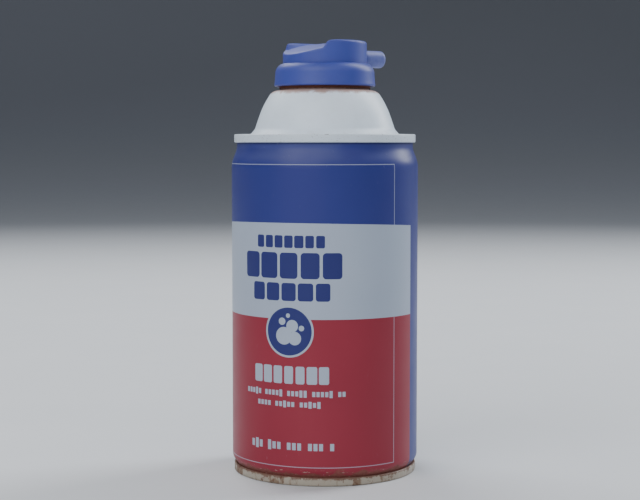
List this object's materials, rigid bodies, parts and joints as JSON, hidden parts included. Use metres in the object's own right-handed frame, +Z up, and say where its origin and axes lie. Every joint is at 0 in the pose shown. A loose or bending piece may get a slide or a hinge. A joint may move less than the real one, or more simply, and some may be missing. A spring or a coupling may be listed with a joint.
{
  "type": "shaving foam can",
  "caption": "Pressurised can for shaving foam: necked cylindrical can, domed top, and a turning collar with a push-down button and side spout.",
  "frame": {"origin": "centre of the can's foot, on the surface that the can stands on", "axes": "+Z up along the can's axis; -Y is the middle of the front label; the spout points 57 degrees from +X towards +Y at rest"},
  "size_m": [0.066, 0.066, 0.152],
  "materials": {
    "printed_body": "satin varnish over print",
    "white_enamel": "satin white enamel, rusty at the lower seam",
    "seam_compound": "matte",
    "cup_tinplate": "rusted at its edge",
    "gasket_rubber": "matte",
    "valve_plastic": "natural",
    "spring_steel": "bright",
    "tube_plastic": "translucent",
    "actuator_blue": "semi-gloss moulded polypropylene"
  },
  "bodies": {
    "can": {"can_body": "printed_body", "dome_top": "white_enamel", "base_end": "white_enamel", "top_seam_compound": "seam_compound", "bottom_seam_compound": "seam_compound", "mounting_cup": "cup_tinplate", "cup_gasket": "gasket_rubber", "stem_gasket": "gasket_rubber", "valve_housing": "valve_plastic", "valve_spring": "spring_steel", "dip_tube": "tube_plastic"},
    "collar": {"actuator_collar": "actuator_blue"},
    "button": {"spout_button": "actuator_blue", "valve_stem": "valve_plastic"}
  },
  "joints": [
    {"name": "collar_turn", "type": "hinge", "parent": "can", "child": "collar", "pos_m": [0, 0, 0.1372], "axis": [0, 0, 1], "continuous": true},
    {"name": "button_press", "type": "slide", "parent": "collar", "child": "button", "axis": [0, 0, -1], "range_m": [0, 0.0012], "stiffness_N_per_m": 2000, "springref_m": -0.006, "deforming": ["valve_spring"]}
  ]
}
